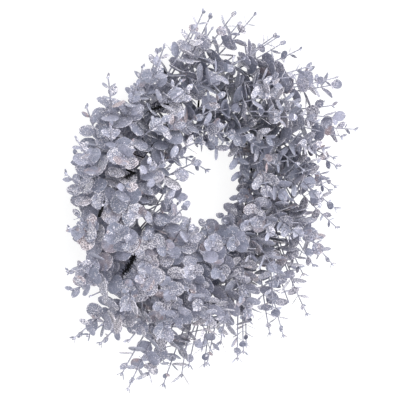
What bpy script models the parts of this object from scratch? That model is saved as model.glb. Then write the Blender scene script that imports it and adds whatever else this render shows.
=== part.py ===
"""A eucalyptus wreath of silvered leafy sprays on a dark wire frame, lying on its back with its front up.

The frame is two hoops joined by ties. Each spray is a stem with pairs of round leaves, and its root lies
along a hoop. Every spray sweeps clockwise, seen from the front, and rises toward its tip.
Lengths are in metres and angles in degrees, and angles round the wreath run counterclockwise from +X.
"""

import math
import random
from collections import namedtuple

import bmesh
import bpy
import numpy as np

SEED = 7

# Where the hoops' centre stands, so that the whole wreath's box is centred on the origin
HOOPS_CENTRE = (-0.009, 0.010, 0)

# The frame
OUTER_HOOP = 0.150
INNER_HOOP = 0.115
WIRE_WIDTH = 0.005
WIRE_HEIGHT = 0.005
WIRE_FOOT = 0.0028
HOOP_STEPS = 30
TIE_COUNT = 8
TIE_WIDTH = 0.003
TIE_SUNK = 0.0015

# The stems
STEM_WIDTH = 0.0018
SEAT_GAP = 0.0003
ROOT_RUN = 0.3
BEND_LIFT = (0.18, 0.34)
BUD = 0.004

# The leaf pairs: how far apart they sit, and by what part of that each gap grows toward the root
PAIR_SPACING = 0.0113
SPACING_GROWTH = 0.0065
FIRST_PAIR = 0.024
PAIRS_IN_CAD = (0, 1, 2, 3, 4, 5, 7, 9)

# The leaves: size grows from the tip inward, and the youngest ones lean furthest along the stem
TIP_LEAF = 0.0045
LEAF_GROWTH = 0.38
SIZE_RANGE = (0.9, 1.08)
LEAF_THICKNESS = 0.0011
LEAF_STALK = 0.0012
LEAF_TILT = 24
TIP_TILT = 30
TILT_FADE = 1.3
MOST_TILT = 64
TWIST_RANGE = (20, 70)

# Half outlines of a leaf, as (angle from its tip, part of its radius); its own tip point is the last number
ROUND_LEAF = ((60, 1.06), (120, 1.04))
SMALL_LEAF = ((90, 0.9),)
LEAF_POINT = 1.06
SMALL_PAIRS = 2

# The clear space kept round each piece
LEAF_GAP = 0.0034
STEM_GAP = 0.0042
LEAF_TO_STEM = 0.0030
FLOOR_GAP = 0.0015

# What a leaf tries until it is clear, as (swing round the stem, extra tilt, scale)
LEAF_TRIES = (
    (0, 0, 1.0), (12, 0, 1.0), (-12, 0, 1.0), (0, 18, 1.0), (0, -16, 1.0), (14, 14, 0.88), (-14, 14, 0.88),
    (0, 32, 0.82), (14, -12, 0.74), (-14, -12, 0.74), (0, 0, 0.62), (12, 40, 0.6), (-12, 40, 0.6),
    (0, 10, 0.5),
)
LEAF_JITTER = (8, 10, 14)

# How far a root (in degrees) and a tip move, at first and more with each try
STEM_TRIES = 40
FIRST_SPREAD = 1.5
MORE_SPREAD = 0.3
TIP_SPREAD = 0.002

# Where the longest sprays end, read from the photograph: angle round the wreath, distance out, height
OUTER_TIPS = (
    (102, 0.274, 0.075), (79, 0.272, 0.055), (71, 0.247, 0.075), (57, 0.260, 0.055), (40, 0.273, 0.075),
    (18, 0.288, 0.065), (12, 0.229, 0.075), (-3, 0.246, 0.055), (-16, 0.255, 0.075), (-29, 0.290, 0.065),
    (-48, 0.278, 0.087), (-56, 0.303, 0.060), (-62, 0.263, 0.075), (-71, 0.273, 0.055),
    (-90, 0.262, 0.075), (-104, 0.294, 0.065), (-119, 0.302, 0.087), (-133, 0.268, 0.065),
    (-143, 0.296, 0.075), (-162, 0.257, 0.065),
    (-177, 0.257, 0.087), (168, 0.259, 0.065), (158, 0.267, 0.087), (149, 0.266, 0.065), (139, 0.272, 0.075),
    (128, 0.238, 0.065), (120, 0.255, 0.087),
)
OUTER_LEAD = 39
OUTER_LEAF = 0.026

# The hole, whose centre lies a little above the hoops' centre, as in the photograph
HOLE = 0.054
HOLE_CENTRE = (0, 0.014)
SPRIG = "hole_sprig"

# The other rows: how many, the first root, how far round from its root each tip lies, and from which centre
Row = namedtuple("Row", "name hoop count first lead centre reach height leaf")
ROWS = (
    Row(SPRIG, INNER_HOOP, 1, 150, 45, (0, 0), 0.038, 0.058, 0.015),
    Row("crown_spray", OUTER_HOOP, 12, 12, 41, (0, 0), 0.205, 0.102, 0.026),
    Row("inner_spray", INNER_HOOP, 11, 8, 38, HOLE_CENTRE, 0.060, 0.052, 0.022),
    Row("throat_spray", INNER_HOOP, 8, 20, 50, (0, 0), 0.142, 0.098, 0.025),
)

Spray = namedtuple("Spray", "name curve length leaf leaves")
Leaf = namedtuple("Leaf", "twins pair face base radial stem_way axis side normal size")

UP = np.array([0.0, 0.0, 1.0])
RINGS_OF_SAMPLES = ((0.0, 1), (0.55, 8), (1.0, 16))


def unit(vector):
    return vector / np.linalg.norm(vector)


def polar(angle, distance, height=0.0):
    turn = math.radians(angle)
    return np.array([distance * math.cos(turn), distance * math.sin(turn), height])


# Stems


def curve_through(root, bend, tip):
    """A stem's curve, as a function from 0 at its root to 1 at its tip."""
    return lambda t: (1 - t) ** 2 * root + 2 * t * (1 - t) * bend + t * t * tip


def heading(curve, t, step=0.01):
    return unit(curve(t + step) - curve(t - step))


def curve_length(curve, steps=40):
    points = np.array([curve(t) for t in np.linspace(0, 1, steps)])
    return float(np.linalg.norm(np.diff(points, axis=0), axis=1).sum())


def stem_curve(hoop, root_angle, tip, rng):
    """A stem that runs along its hoop at first, clockwise, then bends out and up to its tip."""
    root = polar(root_angle, hoop, WIRE_HEIGHT + SEAT_GAP + STEM_WIDTH / 2)
    run = ROOT_RUN * np.linalg.norm(tip - root)
    bend = root + run * polar(root_angle - 90, 1) + UP * tip[2] * rng.uniform(*BEND_LIFT)
    return curve_through(root, bend, tip)


# The clear space


def disc_samples():
    """Points spread over a flat disc of radius 1, as pairs of plane coordinates."""
    found = []
    for radius, count in RINGS_OF_SAMPLES:
        for angle in np.arange(count) * math.tau / count:
            found.append((radius * math.cos(angle), radius * math.sin(angle)))
    return np.array(found)


def distance_to_disc(points, centre, normal, radius):
    offset = points - centre
    height = (offset * normal).sum(axis=-1)
    across = np.sqrt(np.maximum((offset * offset).sum(axis=-1) - height**2, 0))
    return np.hypot(height, np.maximum(across - radius, 0))


def leaf_middle(leaf):
    return leaf.base + leaf.axis * (LEAF_STALK + leaf.size / 2)


class Thicket:
    """The stems and leaves placed so far, which a new one has to stay clear of."""

    def __init__(self):
        self.unit_disc = disc_samples()
        self.frame_points = hoop_points()
        self.stem_points = np.empty((0, 3))
        self.centres = np.empty((0, 3))
        self.normals = np.empty((0, 3))
        self.radii = np.empty(0)
        self.twins = np.empty(0, int)
        self.samples = np.empty((0, len(self.unit_disc), 3))

    def disc(self, leaf):
        radius = leaf.size / 2
        centre = leaf_middle(leaf)
        flat = self.unit_disc * radius
        return centre, centre + flat[:, :1] * leaf.axis + flat[:, 1:] * leaf.side, radius

    def stem_clearance(self, points):
        """How far this stem stays from the others and, past its root, from the frame that it lies along."""
        free = points[len(points) // 6 :]
        pairs = ((points, self.stem_points), (free, self.frame_points))
        return min(np.linalg.norm(a[:, None] - b[None], axis=2).min() for a, b in pairs if len(b))

    def leaf_is_clear(self, leaf, own_stem, hole):
        centre, samples, radius = self.disc(leaf)
        from_hole = np.linalg.norm(samples[:, :2] - HOLE_CENTRE, axis=1)
        if samples[:, 2].min() < FLOOR_GAP or from_hole.min() < hole:
            return False
        wires = np.concatenate([self.stem_points, self.frame_points])
        close = np.linalg.norm(wires - centre, axis=1) < radius + LEAF_TO_STEM
        for point in wires[close]:
            if np.linalg.norm(own_stem - point, axis=1).min() < 1e-9:
                continue
            if distance_to_disc(point, centre, leaf.normal, radius) < LEAF_TO_STEM:
                return False
        near = np.linalg.norm(self.centres - centre, axis=1) < self.radii + radius + LEAF_GAP
        near &= self.twins != leaf.twins
        if not near.any():
            return True
        others = (self.centres[near], self.normals[near], self.radii[near])
        if distance_to_disc(samples[:, None], *others).min() < LEAF_GAP:
            return False
        return distance_to_disc(self.samples[near], centre, leaf.normal, radius).min() > LEAF_GAP

    def add_stem(self, points):
        self.stem_points = np.concatenate([self.stem_points, points])

    def add_leaf(self, leaf):
        centre, samples, radius = self.disc(leaf)
        self.centres = np.concatenate([self.centres, centre[None]])
        self.normals = np.concatenate([self.normals, leaf.normal[None]])
        self.radii = np.append(self.radii, radius)
        self.twins = np.append(self.twins, leaf.twins)
        self.samples = np.concatenate([self.samples, samples[None]])


def hoop_points(spacing=0.003):
    found = []
    for hoop in (OUTER_HOOP, INNER_HOOP):
        count = round(math.tau * hoop / spacing)
        found += [polar(360 * i / count, hoop, WIRE_HEIGHT / 2) for i in range(count)]
    for i in range(TIE_COUNT):
        for reach in np.arange(INNER_HOOP, OUTER_HOOP, spacing):
            found.append(polar(360 * i / TIE_COUNT, reach, WIRE_HEIGHT / 2))
    return np.array(found)


def points_along(curve, length, spacing=0.003):
    return np.array([curve(t) for t in np.linspace(0, 1, max(4, round(length / spacing)))])


# The sprays


def planned_stems():
    """(name, hoop, root angle, tip, leaf size) of each spray."""
    for i, (angle, reach, height) in enumerate(OUTER_TIPS):
        tip = polar(angle, reach, height)
        yield f"outer_spray_{i + 1:02d}", OUTER_HOOP, angle + OUTER_LEAD, tip, OUTER_LEAF
    for row in ROWS:
        for i in range(row.count):
            angle = row.first + 360 * i / row.count
            tip = polar(angle - row.lead, row.reach, row.height) + np.array([*row.centre, 0])
            yield f"{row.name}_{i + 1:02d}", row.hoop, angle, tip, row.leaf


def grow_stems(thicket, rng):
    """Gives each spray its stem: the first try that clears the others, or else the clearest one."""
    sprays = []
    for name, hoop, angle, tip, leaf in planned_stems():
        most = 0.0
        for i in range(STEM_TRIES):
            spread = FIRST_SPREAD + MORE_SPREAD * i
            near_tip = tip + np.array([rng.uniform(-1, 1) for _ in range(3)]) * TIP_SPREAD * spread
            tried = stem_curve(hoop, angle + rng.uniform(-spread, spread), near_tip, rng)
            clearance = thicket.stem_clearance(points_along(tried, curve_length(tried)))
            if clearance > most:
                curve, most = tried, clearance
            if most > STEM_GAP:
                break
        length = curve_length(curve)
        thicket.add_stem(points_along(curve, length))
        sprays.append(Spray(name, curve, length, leaf, []))
    return sprays


def pair_places(spray):
    """Where the leaf pairs sit on the stem, as parts of its length, from the tip to the root."""
    last = int((spray.length - FIRST_PAIR - BUD) / PAIR_SPACING)
    distances = [BUD + PAIR_SPACING * (k + SPACING_GROWTH * k * k) for k in range(last)]
    return [1 - distance / spray.length for distance in distances if distance < spray.length - FIRST_PAIR]


def stem_axes(curve, t, twist):
    """The stem's direction at t, and two directions across it."""
    way = heading(curve, t)
    across = unit(np.cross(UP, way))
    over = np.cross(way, across)
    turn = math.radians(twist)
    turned = math.cos(turn) * across + math.sin(turn) * over
    return way, turned, np.cross(way, turned)


def make_leaf(spray, place, t, twist, swing, tilt, roll, size):
    """A leaf that grows from one face of the stem at t, where place is (twins, pair, face)."""
    way, across, over = stem_axes(spray.curve, t, twist)
    face_angle = math.radians(90 * place[-1])
    radial = math.cos(face_angle) * across + math.sin(face_angle) * over
    turn = face_angle + math.radians(swing)
    outward = math.cos(turn) * across + math.sin(turn) * over
    lean = math.radians(min(tilt, MOST_TILT))
    axis = math.cos(lean) * outward + math.sin(lean) * way
    level = unit(np.cross(way, outward))
    upright = np.cross(axis, level)
    rolled = math.radians(roll)
    side = math.cos(rolled) * level + math.sin(rolled) * upright
    normal = math.cos(rolled) * upright - math.sin(rolled) * level
    base = spray.curve(t) + radial * STEM_WIDTH / 2
    return Leaf(*place, base, radial, way, axis, side, normal, size)


def grow_leaves(sprays, thicket, rng):
    """Gives each stem its leaves, from the tip inward, each turned or made smaller until it is clear."""
    places = [pair_places(spray) for spray in sprays]
    twists = [rng.uniform(*TWIST_RANGE) for _ in sprays]
    stems = [points_along(spray.curve, spray.length) for spray in sprays]
    tilt_jitter, twist_jitter, roll_jitter = LEAF_JITTER
    twins = 0
    for pair in range(max(map(len, places))):
        for spray, along, twist, stem in zip(sprays, places, twists, stems):
            if pair >= len(along):
                continue
            twins += 1
            t = along[pair]
            size = min(spray.leaf, TIP_LEAF + LEAF_GROWTH * (1 - t) * spray.length) * rng.uniform(*SIZE_RANGE)
            tilt = LEAF_TILT + TIP_TILT * math.exp(-pair / TILT_FADE) + rng.uniform(-tilt_jitter, tilt_jitter)
            pair_twist = twist + rng.uniform(-twist_jitter, twist_jitter)
            hole = 0.0 if spray.name.startswith(SPRIG) else HOLE
            for face in (pair % 2, pair % 2 + 2):
                roll = rng.uniform(-roll_jitter, roll_jitter)
                for swing, more_tilt, scale in LEAF_TRIES:
                    pose = (swing, tilt + more_tilt, roll, size * scale)
                    leaf = make_leaf(spray, (twins, pair, face), t, pair_twist, *pose)
                    if thicket.leaf_is_clear(leaf, stem, hole):
                        thicket.add_leaf(leaf)
                        spray.leaves.append(leaf)
                        break


# Meshes


def ring_round(point, across, over):
    """The four corners of the stem's square section."""
    half = STEM_WIDTH / 2
    return [point + half * (a * across + b * over) for a, b in ((1, -1), (1, 1), (-1, 1), (-1, -1))]


def leaf_outline(leaf, shape):
    """The leaf's outline from one side of its base, round its tip, to the other side."""
    radius = leaf.size / 2
    centre = leaf_middle(leaf) - leaf.normal * LEAF_THICKNESS / 2
    one_side = [polar(angle, radius * part) for angle, part in shape]
    other_side = [(x, -y, 0) for x, y, _ in one_side]
    outline = [*one_side[::-1], (radius * LEAF_POINT, 0, 0), *other_side]
    return [centre + x * leaf.axis + y * leaf.side for x, y, _ in outline]


def leaf_faces(leaf, lower, upper, points):
    """The faces of one leaf, which grows from the stem face between two corners of each ring.

    Its back is one face, and its front rises to a point at the middle.
    """
    shape = SMALL_LEAF if leaf.pair < SMALL_PAIRS else ROUND_LEAF
    middle = len(points)
    points.append(leaf_middle(leaf) + leaf.normal * LEAF_THICKNESS / 2)
    points += leaf_outline(leaf, shape)
    outline = list(range(middle + 1, len(points)))
    front = [*upper, *outline]
    faces = [(middle, front[i - 1], front[i]) for i in range(len(front))]
    faces.append((*lower, *outline))
    faces.append((lower[1], upper[1], outline[0]))
    faces.append((upper[0], lower[0], outline[-1]))
    return faces


def pair_axes(leaf):
    """The two directions across the stem that give its four faces at this leaf's pair."""
    across = leaf.radial if leaf.face in (0, 2) else np.cross(leaf.radial, leaf.stem_way)
    if leaf.face in (2, 3):
        across = -across
    return across, np.cross(leaf.stem_way, across)


def spray_mesh(spray):
    """One closed surface: a square stem from root to bud, with each leaf grown out of a face of it."""
    _, across, over = stem_axes(spray.curve, 0, 0)
    points = ring_round(spray.curve(0), across, over)
    below = [0, 1, 2, 3]
    faces = [(3, 2, 1, 0)]
    places = pair_places(spray)
    for pair in sorted({leaf.pair for leaf in spray.leaves if leaf.pair in PAIRS_IN_CAD}, reverse=True):
        leaves = {leaf.face: leaf for leaf in spray.leaves if leaf.pair == pair}
        one = next(iter(leaves.values()))
        half_leaf = one.stem_way * LEAF_THICKNESS / 2
        lower, upper = ([len(points) + k for k in range(start, start + 4)] for start in (0, 4))
        for shift in (-half_leaf, half_leaf):
            points += ring_round(spray.curve(places[pair]) + shift, *pair_axes(one))
        for face in range(4):
            a, b = face, (face + 1) % 4
            faces.append((below[a], below[b], lower[b], lower[a]))
            if face in leaves:
                faces += leaf_faces(leaves[face], (lower[a], lower[b]), (upper[a], upper[b]), points)
            else:
                faces.append((lower[a], lower[b], upper[b], upper[a]))
        below = upper
    points.append(spray.curve(1))
    faces += [(below[k], below[(k + 1) % 4], len(points) - 1) for k in range(4)]
    return points, faces


def hoop_section():
    """A hexagon with a flat foot, as (outward, up) pairs."""
    wide, flat = WIRE_WIDTH / 2, WIRE_FOOT / 2
    right_side = ((flat, 0), (wide, WIRE_HEIGHT / 2), (flat, WIRE_HEIGHT))
    left_side = [(-out, up) for out, up in right_side[::-1]]
    return (*right_side, *left_side)


def hoop_mesh(radius):
    section = hoop_section()
    sides = len(section)
    points = [polar(360 * i / HOOP_STEPS, radius + out, up) for i in range(HOOP_STEPS) for out, up in section]
    faces = []
    for i in range(HOOP_STEPS):
        for k in range(sides):
            here, ahead = i * sides, (i + 1) % HOOP_STEPS * sides
            faces.append((here + k, here + (k + 1) % sides, ahead + (k + 1) % sides, ahead + k))
    return points, faces


def tie_mesh(angle):
    """A bar between the hoops, with its ends sunk into both."""
    half = TIE_WIDTH / 2
    out, across = polar(angle, 1), polar(angle + 90, 1)
    points = []
    for reach in (INNER_HOOP - TIE_SUNK / 2, OUTER_HOOP + TIE_SUNK / 2):
        for a, b in ((-1, -1), (1, -1), (1, 1), (-1, 1)):
            points.append(reach * out + a * half * across + (WIRE_HEIGHT / 2 + b * half) * UP)
    faces = [(3, 2, 1, 0), (4, 5, 6, 7)]
    faces += [(k, (k + 1) % 4, 4 + (k + 1) % 4, 4 + k) for k in range(4)]
    return points, faces


# Objects


def clear_scene():
    for obj in list(bpy.data.objects):
        bpy.data.objects.remove(obj)


def make_material(name, colour, metallic, roughness):
    material = bpy.data.materials.new(name)
    material.use_nodes = True
    shader = material.node_tree.nodes["Principled BSDF"]
    shader.inputs["Base Color"].default_value = (*colour, 1.0)
    shader.inputs["Metallic"].default_value = metallic
    shader.inputs["Roughness"].default_value = roughness
    return material


def make_object(name, points, faces, material, parent=None, origin=(0, 0, 0)):
    mesh = bpy.data.meshes.new(name)
    mesh.from_pydata([tuple(point - np.array(origin)) for point in points], [], faces)
    mesh.materials.append(material)
    obj = bpy.data.objects.new(name, mesh)
    obj.location = origin
    obj.parent = parent
    bpy.context.scene.collection.objects.link(obj)
    return obj


def face_outward(obj):
    shape = bmesh.new()
    shape.from_mesh(obj.data)
    bmesh.ops.recalc_face_normals(shape, faces=shape.faces)
    shape.to_mesh(obj.data)
    shape.free()


def make_frame(material, parent):
    """The two hoops and their ties, joined into one piece."""
    frame = make_object("wire_frame", *hoop_mesh(OUTER_HOOP), material, parent)
    others = bpy.data.collections.new("frame_pieces")
    bpy.context.scene.collection.children.link(others)
    pieces = [make_object("inner_hoop", *hoop_mesh(INNER_HOOP), material, parent)]
    for i in range(TIE_COUNT):
        pieces.append(make_object(f"tie_{i + 1}", *tie_mesh(360 * i / TIE_COUNT), material, parent))
    for piece in [frame, *pieces]:
        face_outward(piece)
    for piece in pieces:
        bpy.context.scene.collection.objects.unlink(piece)
        others.objects.link(piece)
    union = frame.modifiers.new("join", "BOOLEAN")
    union.operation = "UNION"
    union.operand_type = "COLLECTION"
    union.collection = others
    union.solver = "MANIFOLD"
    bpy.context.view_layer.objects.active = frame
    bpy.ops.object.modifier_apply(modifier=union.name)
    for piece in pieces:
        bpy.data.objects.remove(piece)
    bpy.data.collections.remove(others)
    return frame


def main():
    clear_scene()
    rng = random.Random(SEED)
    thicket = Thicket()
    sprays = grow_stems(thicket, rng)
    grow_leaves(sprays, thicket, rng)

    wreath = bpy.data.objects.new("wreath", None)
    wreath.location = HOOPS_CENTRE
    bpy.context.scene.collection.objects.link(wreath)
    dark_wire = make_material("dark_wire", (0.02, 0.018, 0.018), 0.2, 0.6)
    silvered = make_material("silvered_foliage", (0.36, 0.37, 0.42), 0.45, 0.42)
    make_frame(dark_wire, wreath)
    for spray in sprays:
        points, faces = spray_mesh(spray)
        face_outward(make_object(spray.name, points, faces, silvered, wreath, origin=spray.curve(0)))


main()
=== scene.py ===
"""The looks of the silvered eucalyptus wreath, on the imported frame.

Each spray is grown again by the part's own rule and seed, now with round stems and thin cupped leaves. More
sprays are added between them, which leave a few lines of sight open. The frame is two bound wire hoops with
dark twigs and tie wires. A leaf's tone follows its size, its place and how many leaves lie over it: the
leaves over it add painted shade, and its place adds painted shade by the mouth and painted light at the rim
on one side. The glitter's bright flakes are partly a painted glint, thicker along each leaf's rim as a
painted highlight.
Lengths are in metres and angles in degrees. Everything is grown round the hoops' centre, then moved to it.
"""

import math
import random
from collections import namedtuple

import bpy
import numpy as np
from mathutils import Matrix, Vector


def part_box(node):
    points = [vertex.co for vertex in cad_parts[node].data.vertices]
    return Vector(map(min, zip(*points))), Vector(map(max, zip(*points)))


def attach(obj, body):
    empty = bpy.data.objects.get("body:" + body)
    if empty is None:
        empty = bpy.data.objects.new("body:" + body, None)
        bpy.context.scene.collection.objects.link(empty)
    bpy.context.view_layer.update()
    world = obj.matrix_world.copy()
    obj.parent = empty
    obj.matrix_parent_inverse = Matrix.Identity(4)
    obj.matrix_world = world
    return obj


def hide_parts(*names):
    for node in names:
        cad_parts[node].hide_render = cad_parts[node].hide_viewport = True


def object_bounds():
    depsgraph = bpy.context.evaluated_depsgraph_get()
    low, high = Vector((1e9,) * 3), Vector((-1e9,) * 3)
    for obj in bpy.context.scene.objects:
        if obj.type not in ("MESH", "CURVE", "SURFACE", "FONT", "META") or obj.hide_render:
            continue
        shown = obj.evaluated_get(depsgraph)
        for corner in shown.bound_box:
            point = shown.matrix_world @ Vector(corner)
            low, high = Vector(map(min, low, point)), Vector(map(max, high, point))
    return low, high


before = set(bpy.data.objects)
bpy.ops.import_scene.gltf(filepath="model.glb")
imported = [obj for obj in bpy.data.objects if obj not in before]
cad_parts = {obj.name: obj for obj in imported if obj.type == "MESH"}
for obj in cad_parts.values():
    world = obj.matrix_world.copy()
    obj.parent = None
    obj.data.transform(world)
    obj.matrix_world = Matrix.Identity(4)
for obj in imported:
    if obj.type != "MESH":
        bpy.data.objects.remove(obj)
CAD_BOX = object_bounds()

SEED = 7
UP = np.array([0.0, 0.0, 1.0])

# The camera looks down on the wreath, which leans back by TILT from it, about an axis set by LEAN
TILT = 40
LEAN = -21

# The frame
OUTER_HOOP = 0.150
INNER_HOOP = 0.115
WIRE_HEIGHT = 0.005
TIE_COUNT = 8
TIE_WIDTH = 0.003

# The stems. The points that stand for a stem or a hoop lie POINT_SPACING apart, and the first of a stem's
# ROOT_PARTS equal parts is its root
STEM_WIDTH = 0.0018
SEAT_GAP = 0.0003
ROOT_RUN = 0.3
BEND_LIFT = (0.18, 0.34)
BUD = 0.004
POINT_SPACING = 0.003
ROOT_PARTS = 6

# The leaf pairs
PAIR_SPACING = 0.0113
SPACING_GROWTH = 0.0065

# The leaves
TIP_LEAF = 0.0045
LEAF_GROWTH = 0.38
SIZE_RANGE = (0.9, 1.08)
LEAF_STALK = 0.0012
LEAF_TILT = 24
TIP_TILT = 30
TILT_FADE = 1.3
MOST_TILT = 64
TWIST_RANGE = (20, 70)

# The clear space kept round each leaf and stem: as in the solids, then among the added sprays
Room = namedtuple("Room", "leaf_gap stem_gap leaf_to_stem")
SOLID_ROOM = Room(0.0034, 0.0042, 0.0030)
ADDED_ROOM = Room(0.0008, 0.0022, 0.0006)
FLOOR_GAP = 0.0015

# What a leaf tries until it is clear, as (swing round the stem, extra tilt, scale)
LEAF_TRIES = (
    (0, 0, 1.0), (12, 0, 1.0), (-12, 0, 1.0), (0, 18, 1.0), (0, -16, 1.0), (14, 14, 0.88), (-14, 14, 0.88),
    (0, 32, 0.82), (14, -12, 0.74), (-14, -12, 0.74), (0, 0, 0.62), (12, 40, 0.6), (-12, 40, 0.6),
    (0, 10, 0.5),
)
ADDED_TRIES = (
    (0, 0, 1.0), (12, 0, 1.0), (-12, 0, 1.0), (0, 16, 1.0), (0, -14, 1.0), (20, 10, 1.0), (-20, 10, 1.0),
    (10, -12, 0.92), (-10, -12, 0.92), (0, 28, 0.88), (24, 0, 0.86), (-24, 0, 0.86), (0, 0, 0.78),
)
LEAF_JITTER = (8, 10, 14)

# How leaves grow: what each tries, the hole that it keeps free, and how far from the root the first pair sits
Growth = namedtuple("Growth", "tries hole first_pair")

# How far a root (in degrees) and a tip move, at first and more with each try
STEM_TRIES = 40
FIRST_SPREAD = 1.5
MORE_SPREAD = 0.3
TIP_SPREAD = 0.002

# Where the longest sprays end: angle round the wreath, distance out, height
OUTER_TIPS = (
    (102, 0.274, 0.075), (79, 0.272, 0.055), (71, 0.247, 0.075), (57, 0.260, 0.055), (40, 0.273, 0.075),
    (18, 0.288, 0.065), (12, 0.229, 0.075), (-3, 0.246, 0.055), (-16, 0.255, 0.075), (-29, 0.290, 0.065),
    (-48, 0.278, 0.087), (-56, 0.303, 0.060), (-62, 0.263, 0.075), (-71, 0.273, 0.055),
    (-90, 0.262, 0.075), (-104, 0.294, 0.065), (-119, 0.302, 0.087), (-133, 0.268, 0.065),
    (-143, 0.296, 0.075), (-162, 0.257, 0.065),
    (-177, 0.257, 0.087), (168, 0.259, 0.065), (158, 0.267, 0.087), (149, 0.266, 0.065), (139, 0.272, 0.075),
    (128, 0.238, 0.065), (120, 0.255, 0.087),
)
OUTER_LEAD = 39
OUTER_LEAF = 0.026

# The open middle, as (centre, radius): what the solids' sprays keep free, then what the added ones do
HOLE_CENTRE = (0, 0.014)
HOLE = (HOLE_CENTRE, 0.054)
ADDED_HOLE = ((-0.005, 0.011), 0.049)
NO_HOLE = (HOLE_CENTRE, 0.0)
SOLID_GROWTH = Growth(LEAF_TRIES, HOLE, 0.024)
ADDED_GROWTH = Growth(ADDED_TRIES, ADDED_HOLE, 0.011)

# The fewest leaves per metre of stem that an added spray is kept with
FEWEST_LEAVES = 22

# The sprays that may reach into the open middle
SPRIG = "hole_sprig"
MOUTH = "added_mouth"

# The solids' other rows: how many, the first root, how far round from it each tip lies, from which centre
Row = namedtuple("Row", "name hoop count first lead centre reach height leaf tip_leaf")
ROWS = (
    Row(SPRIG, INNER_HOOP, 1, 150, 45, (0, 0), 0.038, 0.058, 0.015, TIP_LEAF),
    Row("crown_spray", OUTER_HOOP, 12, 12, 41, (0, 0), 0.205, 0.102, 0.026, TIP_LEAF),
    Row("inner_spray", INNER_HOOP, 11, 8, 38, HOLE_CENTRE, 0.060, 0.052, 0.022, TIP_LEAF),
    Row("throat_spray", INNER_HOOP, 8, 20, 50, (0, 0), 0.142, 0.098, 0.025, TIP_LEAF),
)

# The added sprays: where those at the rim end, the broad-leaved ones, those round the mouth and on the face,
# and the rows further in
RIM_TIPS = (
    (92, 0.262, 0.080), (84, 0.250, 0.050), (72, 0.252, 0.080), (63, 0.248, 0.050), (54, 0.240, 0.080),
    (46, 0.255, 0.050), (28, 0.268, 0.050), (20, 0.252, 0.080), (8, 0.232, 0.080),
    (0, 0.226, 0.050), (-10, 0.238, 0.080), (-20, 0.215, 0.050), (-27, 0.260, 0.050), (-38, 0.235, 0.070),
    (-45, 0.240, 0.050), (-66, 0.240, 0.050), (-74, 0.270, 0.070),
    (-80, 0.250, 0.085), (-88, 0.272, 0.060), (-97, 0.265, 0.075), (-108, 0.260, 0.050),
    (-117, 0.275, 0.070), (-126, 0.240, 0.080), (-138, 0.275, 0.055), (-150, 0.245, 0.075),
    (-162, 0.262, 0.080), (-171, 0.216, 0.050),
    (180, 0.232, 0.060), (162, 0.240, 0.050), (153, 0.250, 0.080), (144, 0.230, 0.050),
    (135, 0.212, 0.080), (117, 0.232, 0.050), (108, 0.255, 0.080), (98, 0.250, 0.050),
)
RIM_LEAF = 0.0075
BROAD_TIPS = (
    (43, 0.246, 0.060), (38, 0.264, 0.060), (25, 0.250, 0.060), (-31, 0.208, 0.060), (-90, 0.245, 0.060),
    (-98, 0.242, 0.060), (-101, 0.270, 0.060), (-136, 0.258, 0.055), (-161, 0.243, 0.065),
    (97, 0.243, 0.060), (-50, 0.258, 0.060), (-81, 0.240, 0.060), (-112, 0.268, 0.055),
)
MOUTH_TIPS = (
    (88, 0.066, 0.060), (50, 0.058, 0.058), (136, 0.064, 0.060), (150, 0.080, 0.062), (172, 0.080, 0.058),
    (185, 0.092, 0.066), (25, 0.058, 0.048),
)
MOUTH_LEAD = 30
FACE_TIPS = (
    (-160, 0.228, 0.082), (178, 0.205, 0.088), (-139, 0.205, 0.090), (158, 0.198, 0.092),
    (-118, 0.200, 0.094), (-95, 0.190, 0.094), (-155, 0.238, 0.062),
)
FACE_LEAD = 12
FACE_LEAF = 0.019
BROAD_LEAF = 0.016
ADDED_ROWS = (
    Row("added_lip", INNER_HOOP, 11, 6, 46, HOLE_CENTRE, 0.078, 0.086, 0.024, 0.012),
    Row("added_foot", INNER_HOOP, 12, 17, 44, HOLE_CENTRE, 0.068, 0.032, 0.023, 0.012),
    Row("added_crown", OUTER_HOOP, 15, 3, 28, (0, 0), 0.182, 0.100, 0.026, 0.011),
    Row("added_top", INNER_HOOP, 14, 5, 30, (0, 0), 0.158, 0.098, 0.026, 0.011),
    Row("added_throat", INNER_HOOP, 13, 2, 36, (0, 0), 0.116, 0.086, 0.025, 0.012),
    Row("added_inner", INNER_HOOP, 12, 14, 30, HOLE_CENTRE, 0.085, 0.066, 0.023, 0.012),
    Row("added_low", OUTER_HOOP, 17, 9, 34, (0, 0), 0.205, 0.040, 0.026, 0.012),
)

# Dark binding wires that stand up among the sprays, with their ends as (angle, distance, height)
TieWire = namedtuple("TieWire", "start end width bristles")
TIE_WIRES = (
    TieWire((-154, 0.163, 0.078), (-151, 0.186, 0.080), 0.0030, 230),
    TieWire((-177, 0.199, 0.066), (177, 0.193, 0.068), 0.0040, 12),
    TieWire((154, 0.145, 0.060), (144, 0.146, 0.066), 0.0018, 8),
    TieWire((163, 0.155, 0.067), (166, 0.167, 0.067), 0.0034, 50),
    TieWire((127, 0.172, 0.070), (135, 0.186, 0.072), 0.0036, 120),
)

# Lines of sight that the added sprays leave open, by where they meet the floor: (angle, distance, radius)
OPEN_SIGHTS = (
    (92, 0.232, 0.007), (86, 0.222, 0.006), (74, 0.205, 0.008), (60, 0.224, 0.008), (99, 0.040, 0.006),
    (141, 0.044, 0.006), (29, 0.254, 0.007), (22, 0.277, 0.005), (18, 0.234, 0.006), (14, 0.252, 0.008),
    (-11, 0.231, 0.008), (-26, 0.257, 0.006), (-42, 0.305, 0.008), (-45, 0.287, 0.006), (-52, 0.267, 0.007),
    (-64, 0.261, 0.005), (-70, 0.274, 0.006), (-82, 0.220, 0.006), (-85, 0.258, 0.006), (-125, 0.249, 0.006),
    (-136, 0.203, 0.007), (-150, 0.094, 0.007), (-154, 0.066, 0.007), (-172, 0.053, 0.007),
    (-155, 0.202, 0.010), (130, 0.189, 0.010), (-108, 0.236, 0.009), (46, 0.244, 0.009), (-17, 0.272, 0.007),
    (175, 0.212, 0.006), (147, 0.205, 0.006), (125, 0.130, 0.005),
)
TIE_SIGHT = 0.008

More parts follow.
